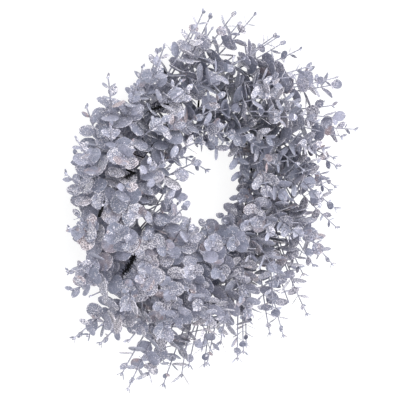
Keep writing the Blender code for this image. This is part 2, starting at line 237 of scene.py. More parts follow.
Plan = namedtuple("Plan", "name hoop angle tip leaf tip_leaf")
Spray = namedtuple("Spray", "name curve length leaf tip_leaf leaves")
Leaf = namedtuple("Leaf", "base axis side normal size")
RINGS_OF_SAMPLES = ((0.0, 1), (0.55, 8), (1.0, 16))
NEARBY = 0.05
SAME_PLACE = 1e-9


def unit(vector):
    return vector / np.linalg.norm(vector)


def polar(angle, distance, height=0.0):
    turn = math.radians(angle)
    return np.array([distance * math.cos(turn), distance * math.sin(turn), height])


def view_axes():
    """The photograph's right, up and toward the camera, in the wreath's frame."""
    tilt, lean = math.radians(TILT), math.radians(LEAN)
    down = np.array([math.cos(lean), math.sin(lean), 0.0])
    level = np.array([-down[1], down[0], 0.0])
    back = math.cos(tilt) * UP - math.sin(tilt) * down
    tipped = math.cos(tilt) * down + math.sin(tilt) * UP
    right = down[0] * tipped + level[0] * level
    up = down[1] * tipped + level[1] * level
    return right, up, back


SIGHT = view_axes()[2]


# Stems, by the part's rule


def curve_through(root, bend, tip):
    """A stem's curve, as a function from 0 at its root to 1 at its tip."""
    return lambda t: (1 - t) ** 2 * root + 2 * t * (1 - t) * bend + t * t * tip


def heading(curve, t, step=0.01):
    return unit(curve(t + step) - curve(t - step))


def curve_length(curve, steps=40):
    points = np.array([curve(t) for t in np.linspace(0, 1, steps)])
    return float(np.linalg.norm(np.diff(points, axis=0), axis=1).sum())


def stem_curve(hoop, root_angle, tip, rng):
    """A stem that runs along its hoop at first, clockwise, then bends out and up to its tip."""
    root = polar(root_angle, hoop, WIRE_HEIGHT + SEAT_GAP + STEM_WIDTH / 2)
    run = ROOT_RUN * np.linalg.norm(tip - root)
    bend = root + run * polar(root_angle - 90, 1) + UP * tip[2] * rng.uniform(*BEND_LIFT)
    return curve_through(root, bend, tip)


# The clear space


def disc_samples():
    """Points spread over a flat disc of radius 1, as pairs of plane coordinates."""
    found = []
    for radius, count in RINGS_OF_SAMPLES:
        for angle in np.arange(count) * math.tau / count:
            found.append((radius * math.cos(angle), radius * math.sin(angle)))
    return np.array(found)


def distance_to_disc(points, centre, normal, radius):
    offset = points - centre
    height = (offset * normal).sum(axis=-1)
    across = np.sqrt(np.maximum((offset * offset).sum(axis=-1) - height**2, 0))
    return np.hypot(height, np.maximum(across - radius, 0))


def leaf_middle(leaf):
    return leaf.base + leaf.axis * (LEAF_STALK + leaf.size / 2)


def disc(leaf, unit_disc):
    """A leaf as a flat disc: its centre, points spread over it, and its radius."""
    radius = leaf.size / 2
    centre = leaf_middle(leaf)
    flat = unit_disc * radius
    return centre, centre + flat[:, :1] * leaf.axis + flat[:, 1:] * leaf.side, radius


def nearest(points, others, margin):
    """The least distance between two sets of points, or infinity where it is plainly over the margin."""
    low, high = points.min(axis=0) - 2 * margin, points.max(axis=0) + 2 * margin
    others = others[((others > low) & (others < high)).all(axis=1)]
    if not len(others):
        return math.inf
    return np.linalg.norm(points[:, None] - others[None], axis=2).min()


class Surroundings:
    """The wires and leaves near one leaf pair, which its leaves have to stay clear of."""

    def __init__(self, thicket, place, own_stem):
        self.room = thicket.room
        self.unit_disc = thicket.unit_disc
        wires = thicket.wires[np.linalg.norm(thicket.wires - place, axis=1) < NEARBY]
        own = (np.linalg.norm(wires[:, None] - own_stem, axis=2) < SAME_PLACE).any(axis=1)
        self.wires = wires[~own]
        near = np.linalg.norm(thicket.centres - place, axis=1) < NEARBY
        self.centres = thicket.centres[near]
        self.normals = thicket.normals[near]
        self.radii = thicket.radii[near]
        self.samples = thicket.samples[near]
        self.sights = thicket.sights

    def in_sight(self, samples):
        """Whether a leaf lies across a line of sight that stays open."""
        feet, radii = self.sights
        offset = samples[:, None] - feet
        along = offset @ SIGHT
        across = np.linalg.norm(offset - along[..., None] * SIGHT, axis=2)
        return bool(((across < radii) & (along > 0)).any())

    def clear(self, leaf, hole):
        centre, samples, radius = disc(leaf, self.unit_disc)
        hole_centre, hole_radius = hole
        from_hole = np.linalg.norm(samples[:, :2] - hole_centre, axis=1)
        if samples[:, 2].min() < FLOOR_GAP or from_hole.min() < hole_radius or self.in_sight(samples):
            return False
        room = self.room
        if len(self.wires):
            from_wires = distance_to_disc(self.wires, centre, leaf.normal, radius).min()
            if from_wires < room.leaf_to_stem:
                return False
        near = np.linalg.norm(self.centres - centre, axis=1) < self.radii + radius + room.leaf_gap
        if not near.any():
            return True
        others = (self.centres[near], self.normals[near], self.radii[near])
        if distance_to_disc(samples[:, None], *others).min() < room.leaf_gap:
            return False
        return distance_to_disc(self.samples[near], centre, leaf.normal, radius).min() > room.leaf_gap


class Thicket:
    """The stems and leaves placed so far."""

    def __init__(self):
        self.room = SOLID_ROOM
        self.unit_disc = disc_samples()
        self.frame_points = hoop_points()
        self.wires = self.frame_points
        self.centres = np.empty((0, 3))
        self.normals = np.empty((0, 3))
        self.radii = np.empty(0)
        self.samples = np.empty((0, len(self.unit_disc), 3))
        self.sights = (np.empty((0, 3)), np.empty(0))

    def stem_clearance(self, points):
        """How far this stem stays from the others and, past its root, from the frame that it lies along."""
        stems = self.wires[len(self.frame_points) :]
        free = points[len(points) // ROOT_PARTS :]
        pairs = ((points, stems), (free, self.frame_points))
        return min((nearest(a, b, self.room.stem_gap) for a, b in pairs), default=math.inf)

    def add_stem(self, points):
        self.wires = np.concatenate([self.wires, points])

    def add_leaf(self, leaf):
        centre, samples, radius = disc(leaf, self.unit_disc)
        self.centres = np.concatenate([self.centres, centre[None]])
        self.normals = np.concatenate([self.normals, leaf.normal[None]])
        self.radii = np.append(self.radii, radius)
        self.samples = np.concatenate([self.samples, samples[None]])


def open_sights():
    """Where the lines of sight start, and their radii: from the floor, and from each tie wire."""
    feet = [polar(angle, reach) for angle, reach, _ in OPEN_SIGHTS]
    radii = [radius for _, _, radius in OPEN_SIGHTS]
    for wire in TIE_WIRES:
        for end in (wire.start, wire.end):
            feet.append(polar(*end))
            radii.append(TIE_SIGHT)
    return np.array(feet), np.array(radii)


def hoop_points():
    found = []
    for hoop in (OUTER_HOOP, INNER_HOOP):
        count = round(math.tau * hoop / POINT_SPACING)
        found += [polar(360 * i / count, hoop, WIRE_HEIGHT / 2) for i in range(count)]
    for i in range(TIE_COUNT):
        for reach in np.arange(INNER_HOOP, OUTER_HOOP, POINT_SPACING):
            found.append(polar(360 * i / TIE_COUNT, reach, WIRE_HEIGHT / 2))
    return np.array(found)


def points_along(curve, length):
    count = max(4, round(length / POINT_SPACING))
    return np.array([curve(t) for t in np.linspace(0, 1, count)])


# The sprays, by the part's rule


def tip_plans(name, tips, tip_leaf, hoop=OUTER_HOOP, lead=OUTER_LEAD):
    """Plans for sprays whose tips are listed."""
    for i, (angle, reach, height) in enumerate(tips):
        tip = polar(angle, reach, height)
        yield Plan(f"{name}_{i + 1:02d}", hoop, angle + lead, tip, OUTER_LEAF, tip_leaf)


def row_plans(rows):
    for row in rows:
        for i in range(row.count):
            angle = row.first + 360 * i / row.count
            tip = polar(angle - row.lead, row.reach, row.height) + np.array([*row.centre, 0])
            yield Plan(f"{row.name}_{i + 1:02d}", row.hoop, angle, tip, row.leaf, row.tip_leaf)


def grow_stems(plans, thicket, rng, top=math.inf):
    """Gives each spray its stem, under the top: the first try that is clear, or else the clearest."""
    sprays = []
    for plan in plans:
        most = 0.0
        for i in range(STEM_TRIES):
            spread = FIRST_SPREAD + MORE_SPREAD * i
            near_tip = plan.tip + np.array([rng.uniform(-1, 1) for _ in range(3)]) * TIP_SPREAD * spread
            near_tip[2] = min(near_tip[2], top)
            tried = stem_curve(plan.hoop, plan.angle + rng.uniform(-spread, spread), near_tip, rng)
            clearance = thicket.stem_clearance(points_along(tried, curve_length(tried)))
            if clearance > most:
                curve, most = tried, clearance
            if most > thicket.room.stem_gap:
                break
        length = curve_length(curve)
        thicket.add_stem(points_along(curve, length))
        sprays.append(Spray(plan.name, curve, length, plan.leaf, plan.tip_leaf, []))
    return sprays


def pair_places(spray, first_pair):
    """Where the leaf pairs sit on the stem, as parts of its length, from the tip to the root."""
    last = int((spray.length - first_pair - BUD) / PAIR_SPACING)
    distances = [BUD + PAIR_SPACING * (k + SPACING_GROWTH * k * k) for k in range(last)]
    return [1 - distance / spray.length for distance in distances if distance < spray.length - first_pair]


def stem_axes(curve, t, twist):
    """The stem's direction at t, and two directions across it."""
    way = heading(curve, t)
    across = unit(np.cross(UP, way))
    over = np.cross(way, across)
    turn = math.radians(twist)
    turned = math.cos(turn) * across + math.sin(turn) * over
    return way, turned, np.cross(way, turned)


def make_leaf(spray, face, t, twist, swing, tilt, roll, size):
    """A leaf that grows from one face of the stem at t."""
    way, across, over = stem_axes(spray.curve, t, twist)
    face_angle = math.radians(90 * face)
    radial = math.cos(face_angle) * across + math.sin(face_angle) * over
    turn = face_angle + math.radians(swing)
    outward = math.cos(turn) * across + math.sin(turn) * over
    lean = math.radians(min(tilt, MOST_TILT))
    axis = math.cos(lean) * outward + math.sin(lean) * way
    level = unit(np.cross(way, outward))
    upright = np.cross(axis, level)
    rolled = math.radians(roll)
    side = math.cos(rolled) * level + math.sin(rolled) * upright
    normal = math.cos(rolled) * upright - math.sin(rolled) * level
    base = spray.curve(t) + radial * STEM_WIDTH / 2
    return Leaf(base, axis, side, normal, size)


def grow_leaves(sprays, thicket, growth, rng):
    """Gives each stem its leaves, from the tip inward, each turned or made smaller until it is clear."""
    places = [pair_places(spray, growth.first_pair) for spray in sprays]
    twists = [rng.uniform(*TWIST_RANGE) for _ in sprays]
    stems = [points_along(spray.curve, spray.length) for spray in sprays]
    tilt_jitter, twist_jitter, roll_jitter = LEAF_JITTER
    for pair in range(max(map(len, places))):
        for spray, along, twist, stem in zip(sprays, places, twists, stems):
            if pair >= len(along):
                continue
            t = along[pair]
            size = min(spray.leaf, spray.tip_leaf + LEAF_GROWTH * (1 - t) * spray.length)
            size *= rng.uniform(*SIZE_RANGE)
            tilt = LEAF_TILT + TIP_TILT * math.exp(-pair / TILT_FADE) + rng.uniform(-tilt_jitter, tilt_jitter)
            pair_twist = twist + rng.uniform(-twist_jitter, twist_jitter)
            kept_free = NO_HOLE if spray.name.startswith((SPRIG, MOUTH)) else growth.hole
            around = Surroundings(thicket, spray.curve(t), stem)
            for face in (pair % 2, pair % 2 + 2):
                roll = rng.uniform(-roll_jitter, roll_jitter)
                for swing, more_tilt, scale in growth.tries:
                    pose = (swing, tilt + more_tilt, roll, size * scale)
                    leaf = make_leaf(spray, face, t, pair_twist, *pose)
                    if around.clear(leaf, kept_free):
                        thicket.add_leaf(leaf)
                        spray.leaves.append(leaf)
                        break


# Fine leaves. A leaf is a disc of rings, with a front, a back and a rim. Its form is in parts of its radius

FINE_RINGS = (0.45, 0.8, 1.0)
FINE_POINTS = 16
SMALL_RINGS = (0.6, 1.0)
SMALL_POINTS = 10
SMALL_LEAF = 0.011
EDGE_POINTS = 12
BLADE_THICKNESS = 0.0005
LEAF_TIP = 0.04
SLIM_TIP = 0.3
CUP = (-0.05, 0.06)
DROOP = (-0.04, 0.06)
FOLD = (0.0, 0.08)
FLAT_BASE = 0.6
WAVE = 0.022
WAVE_SHARE = (0.2, 1)
WAVE_COUNT = 2
LOBE = 0.028
LOBE_SHARE = (0.3, 1)
LOBE_COUNT = 3
EDGE_WAVE = 0.018
EDGE_WAVE_COUNT = 7
SLIM = 0.5
WIDENING = 32.0

# How far round the edge, in radians, the stalk and the tip spread
STALK_SPREAD = 0.2
TIP_POINT_SPREAD = 0.35


def leaf_disc(rings, count):
    """The plane points of a leaf of radius 1, as (distance, angle) rows, and the faces of its front."""
    places = [(0.0, 0.0)]
    faces = []
    for k, ring in enumerate(rings):
        start = 1 + k * count
        places += [(ring, math.tau * i / count) for i in range(count)]
        for i in range(count):
            here, ahead = start + i, start + (i + 1) % count
            if k == 0:
                faces.append((0, here, ahead))
            else:
                faces.append((here - count, here, ahead, ahead - count))
    return np.array(places), faces


def leaf_solid(rings, count):
    """The leaf disc's points, and the faces of a closed leaf: front, back and rim."""
    places, front = leaf_disc(rings, count)
    total = len(places)
    back = [tuple(total + k for k in face[::-1]) for face in front]
    edge = [total - count + i for i in range(count)]
    ahead = edge[1:] + edge[:1]
    rim = [(here, here + total, after + total, after) for here, after in zip(edge, ahead)]
    return places, front + back + rim


EDGE_TURNS = np.arange(EDGE_POINTS) * math.tau / EDGE_POINTS
EDGE = np.array([(math.cos(turn), math.sin(turn)) for turn in EDGE_TURNS])
FINE = leaf_solid(FINE_RINGS, FINE_POINTS)
SMALL = leaf_solid(SMALL_RINGS, SMALL_POINTS)


def leaf_surface(leaf, places, rng):
    """The leaf's front and back points, and the flat coordinates that its veins are drawn by."""
    distance, angle = places.T
    radius = leaf.size / 2
    lobes = 1 + LOBE * rng.uniform(*LOBE_SHARE) * np.sin(LOBE_COUNT * angle + rng.uniform(0, math.tau))
    near_stalk = np.exp(-((np.abs(angle - math.pi) / STALK_SPREAD) ** 2))
    stalk = (LEAF_STALK + STEM_WIDTH / 2) / radius * near_stalk * distance**4
    lobes += EDGE_WAVE * np.sin(EDGE_WAVE_COUNT * angle + rng.uniform(0, math.tau))
    width = min(SLIM + (leaf.size - TIP_LEAF) * WIDENING, 1)
    point = LEAF_TIP + SLIM_TIP * (1 - width)
    lobes += point * np.exp(-((np.minimum(angle, math.tau - angle) / TIP_POINT_SPREAD) ** 2))
    x = distance * lobes * np.cos(angle) - stalk
    y = distance * lobes * np.sin(angle) * width
    cup, droop, fold = rng.uniform(*CUP), rng.uniform(*DROOP), rng.uniform(*FOLD)
    wave = WAVE * rng.uniform(*WAVE_SHARE) * distance**3
    wave = wave * np.sin(WAVE_COUNT * angle + rng.uniform(0, math.tau))
    height = cup * y * y - droop * np.maximum(x, 0) ** 2 + fold * np.abs(y) + wave
    height *= np.clip((x + 1) / FLAT_BASE, 0, 1)
    middle = leaf_middle(leaf)
    flat = middle + radius * (x[:, None] * leaf.axis + y[:, None] * leaf.side + height[:, None] * leaf.normal)
    half = leaf.normal * BLADE_THICKNESS / 2
    return np.concatenate([flat + half, flat - half]), np.tile(np.column_stack([x, y]), (2, 1))


# How leaves differ: the shares of glittered, partly glittered and copper-tinted ones, and how much each has
GLITTERED = 0.27
PART_GLITTERED = 0.33
COPPERED = 0.12
FULL_GLITTER = (0.7, 1.0)
PART_GLITTER = (0.2, 0.5)
FAINT_GLITTER = (0.0, 0.15)
COPPER_RANGE = (0.3, 0.9)

# Their tone, from 0 for the darkest to 1 for the palest. Leaves under others are darker and glitter less, as
# painted shade, and young ones are darker and glitter less too
OPEN_TONE = 0.40
TONE_SPREAD = 0.17
PAINTED_SHADE_DEPTH = 0.04
COVER_HEIGHT = 0.006
FULL_COVER = 3
COVERED_LESS = 0.5
FULL_SIZE = 0.018
YOUNG_DARKER = 0.25

# The side that is darker by the mouth, as painted shade, and paler at the rim, as painted light, by how much,
# and how far out it is neither
PAINTED_SHADE_SIDE = 68
PAINTED_SIDE_TONE = 0.45
EVEN_REACH = 0.20

# How far a whole spray leans from the others
SPRAY_TONE = 0.08
SPRAY_GLITTER = 0.22

BUD_LOOK = (0.5, 0.3, 0.0)
PLAIN_LOOK = (0.5, 0.0, 0.0)

# The angle from which an edge is shaded sharp
SHARP_EDGE = 50


def covered(leaf, thicket):
    """How many leaves lie over this one."""
    offset = thicket.centres - leaf_middle(leaf)
    beside = np.linalg.norm(offset[:, :2], axis=1)
    over = (offset[:, 2] > COVER_HEIGHT) & (beside < thicket.radii + leaf.size / 4)
    return int(over.sum())


def spray_leaning(rng):
    """How much this spray's leaves tend to be paler and more glittered than others."""
    return rng.uniform(-SPRAY_TONE, SPRAY_TONE), rng.uniform(-SPRAY_GLITTER, SPRAY_GLITTER)


def painted_light_by_place(leaf):
    """Painted shade and light by place: how much darker and less glittered the leaf is by the mouth on one
    side, and paler and more glittered toward the rim.
    """
    along = max(unit(leaf.base[:2]) @ polar(PAINTED_SHADE_SIDE, 1)[:2], 0)
    return PAINTED_SIDE_TONE * along * (np.linalg.norm(leaf.base[:2]) / EVEN_REACH - 1)


def leaf_look(size, shade, leaning, rng):
    """(tone, glitter, copper) of one leaf, which its material reads. Shade runs from 0 in the open to 1 under
    full cover, and darkens the leaf and dims its glitter as painted shade.
    """
    draw = rng.random()
    if draw < GLITTERED:
        glitter = rng.uniform(*FULL_GLITTER)
    elif draw < GLITTERED + PART_GLITTERED:
        glitter = rng.uniform(*PART_GLITTER)
    else:
        glitter = rng.uniform(*FAINT_GLITTER)
    copper = rng.uniform(*COPPER_RANGE) if rng.random() < COPPERED else 0.0
    paler, shinier = leaning
    grown = min(size / FULL_SIZE, 1)
    tone = rng.gauss(OPEN_TONE, TONE_SPREAD) + paler - PAINTED_SHADE_DEPTH * shade - YOUNG_DARKER * (1 - grown)
    glitter = max(glitter + shinier, 0) * (1 - COVERED_LESS * shade) * grown
    return min(max(tone, 0.0), 1.0), glitter, copper


class Mesh:
    """Points and faces gathered for one piece, with what its material reads at each point."""

    def __init__(self):
        self.points = []
        self.faces = []
        self.looks = []
        self.flats = []
        self.slots = []
        self.count = 0

    def add(self, points, faces, look=PLAIN_LOOK, flat=None, slot=0):
        self.points.append(points)
        self.faces += [tuple(self.count + k for k in face) for face in faces]
        self.slots += [slot] * len(faces)
        self.looks.append(np.tile(look, (len(points), 1)))
        self.flats.append(np.zeros((len(points), 2)) if flat is None else flat)
        self.count += len(points)

    def to_object(self, name, materials):
        mesh = bpy.data.meshes.new(name)
        points = np.concatenate(self.points) + CENTRE
        mesh.from_pydata(points.tolist(), [], self.faces)
        for material in materials:
            mesh.materials.append(material)
        mesh.polygons.foreach_set("material_index", self.slots)
        mesh.polygons.foreach_set("use_smooth", [True] * len(self.faces))
        mesh.set_sharp_from_angle(angle=math.radians(SHARP_EDGE))
        looks = mesh.color_attributes.new("look", "FLOAT_COLOR", "POINT")
        rows = np.concatenate(self.looks)
        looks.data.foreach_set("color", np.column_stack([rows, np.ones(len(rows))]).ravel())
        flats = mesh.attributes.new("flat", "FLOAT2", "POINT")
        flats.data.foreach_set("vector", np.concatenate(self.flats).ravel())
        obj = bpy.data.objects.new(name, mesh)
        bpy.context.scene.collection.objects.link(obj)
        return obj


# Stems

STEM_SIDES = 7
STEM_STEP = 0.006
FEWEST_STEPS = 6
ROOT_THICKER = 1.6
TIP_THINNER = 1.05
BUD_WIDTHS = (0.0016, 0.0038, 0.0034, 0.0008)
NEAR_UPRIGHT = 0.9


def tube(points, radii, sides):
    """A round tube along the points, closed at both ends."""
    rings = []
    count = len(points)
    for i in range(count):
        way = unit(points[min(i + 1, count - 1)] - points[max(i - 1, 0)])
        guide = UP if abs(way[2]) < NEAR_UPRIGHT else np.array([1.0, 0, 0])
        across = unit(np.cross(guide, way))
        over = np.cross(way, across)
        turns = np.arange(sides) * math.tau / sides
        rings.append(points[i] + radii[i] * (np.outer(np.cos(turns), across) + np.outer(np.sin(turns), over)))
    faces = [tuple(range(sides))[::-1], tuple((count - 1) * sides + k for k in range(sides))]
    for i in range(count - 1):
        for k in range(sides):
            a, b = i * sides + k, i * sides + (k + 1) % sides
            faces.append((a, b, b + sides, a + sides))
    return np.concatenate(rings), faces


def add_stem(mesh, spray):
    count = max(FEWEST_STEPS, round(spray.length / STEM_STEP))
    along = np.linspace(0, 1, count)
    points = np.array([spray.curve(t) for t in along])
    radii = STEM_WIDTH / 2 * (ROOT_THICKER + (TIP_THINNER - ROOT_THICKER) * along)
    mesh.add(*tube(points, radii, STEM_SIDES), slot=1)


def add_bud(mesh, spray):
    """A closed bud over the stem's tip."""
    along = np.linspace(1 - BUD / spray.length, 1, len(BUD_WIDTHS))
    points = np.array([spray.curve(t) for t in along])
    mesh.add(*tube(points, np.array(BUD_WIDTHS) / 2, STEM_SIDES), look=BUD_LOOK)


def add_leaves(mesh, spray, thicket, rng):
    leaning = spray_leaning(rng)
    for leaf in filter(under_top, spray.leaves):
        places, faces = SMALL if leaf.size < SMALL_LEAF else FINE
        points, flat = leaf_surface(leaf, places, rng)
        # Painted shade: leaves under others are darker and glitter less
        shade = min(covered(leaf, thicket) / FULL_COVER, 1)
        paler, shinier = leaning
        # Painted shade by the mouth and painted light at the rim, on one side of the wreath
        side = painted_light_by_place(leaf)
        mesh.add(points, faces, leaf_look(leaf.size, shade, (paler + side, shinier + side), rng), flat)


def under_top(leaf):
    """Whether the leaf stays below the solids' highest point."""
    return disc(leaf, EDGE)[1][:, 2].max() < CAD_BOX[1][2]


def spray_piece(spray, thicket, materials, rng):
    mesh = Mesh()
    add_leaves(mesh, spray, thicket, rng)
    add_stem(mesh, spray)
    add_bud(mesh, spray)
    return mesh.to_object(f"{spray.name}_foliage", materials)


# The frame: two round hoops, each with a binding wire wound round it, ties and dark twigs

HOOP_POINTS = 120
HOOP_SIDES = 8
BINDING_TURNS = 60
TURN_POINTS = 8
BINDING_WIDTH = 0.0008
BINDING_SIDES = 4

TWIG_COUNT = 150
TWIG_LENGTH = (0.010, 0.026)
TWIG_WIDTH = 0.0010
TWIG_RISE = (0.2, 1.4)
TWIG_BEND = 0.15
TWIG_MIDDLE = 0.55
TWIG_TAPER = (0.6, 0.5, 0.2)
TWIG_SIDES = 5

# How wide a tie wire is at each of its points, the part of its end that is bristly, and its bristles
TIE_TAPER = (0.5, 0.6, 1, 1, 0.5)
TIE_SIDES = 6
BRISTLY_PART = (-0.1, 1.1)
BRISTLE_LENGTH = (0.003, 0.009)
BRISTLE_WIDTH = 0.00045
BRISTLE_SIDES = 3


def ring_tube(centres, radius, sides):
    """A round tube along a closed loop of points."""
    count = len(centres)
    rings = []
    for i in range(count):
        way = unit(centres[(i + 1) % count] - centres[i - 1])
        across = unit(np.cross(UP, way))
        over = np.cross(way, across)
        turns = np.arange(sides) * math.tau / sides
        rings.append(centres[i] + radius * (np.outer(np.cos(turns), across) + np.outer(np.sin(turns), over)))
    faces = []
    for i in range(count):
        for k in range(sides):
            here, ahead = i * sides, (i + 1) % count * sides
            faces.append((here + k, here + (k + 1) % sides, ahead + (k + 1) % sides, ahead + k))
    return np.concatenate(rings), faces


def add_hoop(mesh, radius):
    wire = WIRE_HEIGHT / 2 - BINDING_WIDTH
    angles = np.arange(HOOP_POINTS) * 360 / HOOP_POINTS
    mesh.add(*ring_tube(np.array([polar(a, radius, WIRE_HEIGHT / 2) for a in angles]), wire, HOOP_SIDES))
    reach = wire + BINDING_WIDTH / 2
    count = BINDING_TURNS * TURN_POINTS
    winding = []
    for i in range(count):
        turn = math.tau * i / TURN_POINTS
        out, up = reach * math.cos(turn), reach * math.sin(turn)
        winding.append(polar(360 * i / count, radius + out, WIRE_HEIGHT / 2 + up))
    mesh.add(*ring_tube(np.array(winding), BINDING_WIDTH / 2, BINDING_SIDES))


def add_twigs(mesh, rng):
    """Short dark twigs that bristle from the hoops, sideways and up."""
    for _ in range(TWIG_COUNT):
        hoop = rng.choice((OUTER_HOOP, INNER_HOOP))
        angle = rng.uniform(0, 360)
        root = polar(angle, hoop, WIRE_HEIGHT / 2)
        way = unit(polar(angle + rng.uniform(-180, 180), 1, rng.uniform(*TWIG_RISE)))
        length = rng.uniform(*TWIG_LENGTH)
        bent = polar(rng.uniform(0, 360), TWIG_BEND * length)
        points = np.array([root, root + way * length * TWIG_MIDDLE + bent, root + way * length])
        mesh.add(*tube(points, TWIG_WIDTH * np.array(TWIG_TAPER), TWIG_SIDES))


def add_tie_wires(mesh, rng):
    """Wires that rise from the outer hoop to lie among the sprays, with short bristles along their ends."""
    for wire in TIE_WIRES:
        start, end = polar(*wire.start), polar(*wire.end)
        root = polar(wire.start[0], OUTER_HOOP, WIRE_HEIGHT / 2)
        knee = (root + start) / 2 + polar(wire.start[0], TIE_WIDTH)
        points = np.array([root, knee, start, (start + end) / 2 + UP * TWIG_WIDTH, end])
        mesh.add(*tube(points, wire.width / 2 * np.array(TIE_TAPER), TIE_SIDES))
        for _ in range(wire.bristles):
            foot = start + (end - start) * rng.uniform(*BRISTLY_PART)
            way = unit(np.array([rng.gauss(0, 1) for _ in range(3)]))
            length = wire.width / 2 + rng.uniform(*BRISTLE_LENGTH)
            points = np.array([foot, foot + way * length])
            mesh.add(*tube(points, [BRISTLE_WIDTH, BRISTLE_WIDTH / 3], BRISTLE_SIDES))


def frame_piece(material, rng):
    mesh = Mesh()
    for radius in (OUTER_HOOP, INNER_HOOP):
        add_hoop(mesh, radius)
    for i in range(TIE_COUNT):
        ends = [polar(360 * i / TIE_COUNT, reach, WIRE_HEIGHT / 2) for reach in (INNER_HOOP, OUTER_HOOP)]
        mesh.add(*tube(np.array(ends), [TIE_WIDTH / 2] * 2, HOOP_SIDES))
    add_twigs(mesh, rng)
    add_tie_wires(mesh, rng)
    return mesh.to_object("bound_wire_frame", [material])


# Materials


def new_material(name):
    material = bpy.data.materials.new(name)
    material.use_nodes = True
    return material, material.node_tree, material.node_tree.nodes["Principled BSDF"]


def add_node(tree, kind, values=(), **settings):
    """A node with these settings. Values maps its inputs to numbers, colours or other nodes' outputs."""
    node = tree.nodes.new(kind)
    for name, value in settings.items():
        setattr(node, name, value)
    for key, value in dict(values).items():
        if isinstance(value, bpy.types.NodeSocket):
            tree.links.new(value, node.inputs[key])
        else:
            node.inputs[key].default_value = value
    return node


def math_node(tree, operation, a, b=0.0, clamp=False):
    return add_node(tree, "ShaderNodeMath", {0: a, 1: b}, operation=operation, use_clamp=clamp).outputs[0]


def mix_colour(tree, factor, a, b, blend="MIX"):
    node = add_node(tree, "ShaderNodeMix", data_type="RGBA", blend_type=blend, clamp_factor=True)
    for key, value in ((0, factor), (6, a), (7, b)):
        if isinstance(value, bpy.types.NodeSocket):
            tree.links.new(value, node.inputs[key])
        else:
            node.inputs[key].default_value = value
    return node.outputs[2]


def ramp(tree, factor, low, high):
    """0 below low, 1 above high, smooth between."""
    node = add_node(tree, "ShaderNodeMapRange", {0: factor, 1: low, 2: high}, interpolation_type="SMOOTHSTEP")
    return node.outputs[0]


def noise(tree, place, scale, detail):
    values = {"Vector": place, "Scale": scale, "Detail": detail}
    return add_node(tree, "ShaderNodeTexNoise", values).outputs[0]


def weighted(tree, *terms):
    """The sum of some outputs, each times its weight."""
    first, *others = [math_node(tree, "MULTIPLY", output, weight) for output, weight in terms]
    total = first
    for term in others:
        total = math_node(tree, "ADD", total, term)
    return total


def add_bump(tree, shader, height, distance, strength):
    values = {"Height": height, "Distance": distance, "Strength": strength}
    bump = add_node(tree, "ShaderNodeBump", values)
    tree.links.new(bump.outputs[0], shader.inputs["Normal"])


PALE = (0.45, 0.45, 0.555, 1)
DEEP = (0.188, 0.202, 0.262, 1)
COPPER = (0.36, 0.28, 0.29, 1)
COPPER_GLOW = (1.0, 0.94, 0.91, 1)
# Glitter flakes: bright ones that are partly a painted glint, and dark ones between them
GLITTER_AND_PAINTED_GLINT = (0.95, 0.91, 0.95, 1)
SPECK = (0.12, 0.12, 0.16, 1)

# The leaves' noises, as (scale, detail)
CLOUDS = (190.0, 4.0)
PATCHES = (70.0, 2.0)
SPECKS = (620.0, 2.0)

# Their colour: how much clouds and specks mottle it, about what level, and how much paler a vein is
CLOUD_WEIGHT = 0.9
SPECK_WEIGHT = 1.9
MOTTLE_LEVEL = 1.4
VEIN_PALER = 0.22
COPPER_PATCHES = (0.38, 0.62)

# Their veins, drawn on a leaf of radius 1: where the midrib fades, and the side veins' fan, fade and height
MIDRIB = (0.01, 0.07)
VEIN_COUNT = 9
FAN_START = 1.25
SIDE_VEIN = (0.55, 1.0)
SIDE_VEIN_HEIGHT = 0.5

# Where their rim begins, as a part of the radius, squared
RIM = (0.72, 0.92)

# Their glitter: flakes in a net of threads and cells, whose bright threads are partly a painted glint, and
# where and how thick it lies
FLAKES_PER_METRE = 900.0
NET_PER_METRE = 400.0
THREAD = (0.04, 0.20)
THREAD_WEIGHT = 0.4
CELL_WEIGHT = 0.45
FLAKE_WEIGHT = 0.35
GLINT = (0.36, 0.80)
COAT_PATCHES = 1.2
# More glitter along the rim, as a painted rim highlight
PAINTED_RIM_HIGHLIGHT = 0.3
COAT_COVER = 0.88

# Their surface, where the glitter's coat is smoother
LEAF_ROUGHNESS = 0.62
COAT_SMOOTHER = 0.17
LEAF_SPECULAR = 0.35
LEAF_SHEEN = 0.15
SHEEN_ROUGHNESS = 0.4
VEIN_BUMP = 0.35
CLOUD_BUMP = 0.5
FLAKE_BUMP = 0.5
LEAF_BUMP_HEIGHT = 0.0004
BUMP_STRENGTH = 0.6


def vein_height(tree, flat):
    """A midrib and side veins that fan out from the leaf's base, as a height between 0 and 1."""
    along, across = flat
    spread = math_node(tree, "ABSOLUTE", across)
    rib = math_node(tree, "SUBTRACT", 1.0, ramp(tree, spread, *MIDRIB))
    from_base = math_node(tree, "ADD", along, FAN_START)
    fan = math_node(tree, "ARCTAN2", spread, from_base)
    fanned = math_node(tree, "SINE", math_node(tree, "MULTIPLY", fan, 2.0 * VEIN_COUNT))
    veins = math_node(tree, "MULTIPLY", ramp(tree, fanned, *SIDE_VEIN), SIDE_VEIN_HEIGHT)
    return math_node(tree, "MAXIMUM", rib, veins)


def leaf_rim(tree, flat):
    """1 along the leaf's edge, 0 further in."""
    squares = [math_node(tree, "MULTIPLY", side, side) for side in flat]
    return ramp(tree, math_node(tree, "ADD", *squares), *RIM)


def glitter_and_painted_glint_net(tree, place, flake):
    """Bright threads round dark cells, uneven from cell to cell and from flake to flake: real glitter, with
    its sparkle partly painted as a glint.
    """
    net = {"Vector": place, "Scale": NET_PER_METRE}
    edges = add_node(tree, "ShaderNodeTexVoronoi", net, feature="DISTANCE_TO_EDGE")
    thread = math_node(tree, "SUBTRACT", 1.0, ramp(tree, edges.outputs["Distance"], *THREAD))
    cells = add_node(tree, "ShaderNodeTexVoronoi", net)
    cell = add_node(tree, "ShaderNodeSeparateColor", {0: cells.outputs["Color"]}).outputs[0]
    mixed = weighted(tree, (thread, THREAD_WEIGHT), (cell, CELL_WEIGHT), (flake, FLAKE_WEIGHT))
    return ramp(tree, mixed, *GLINT)


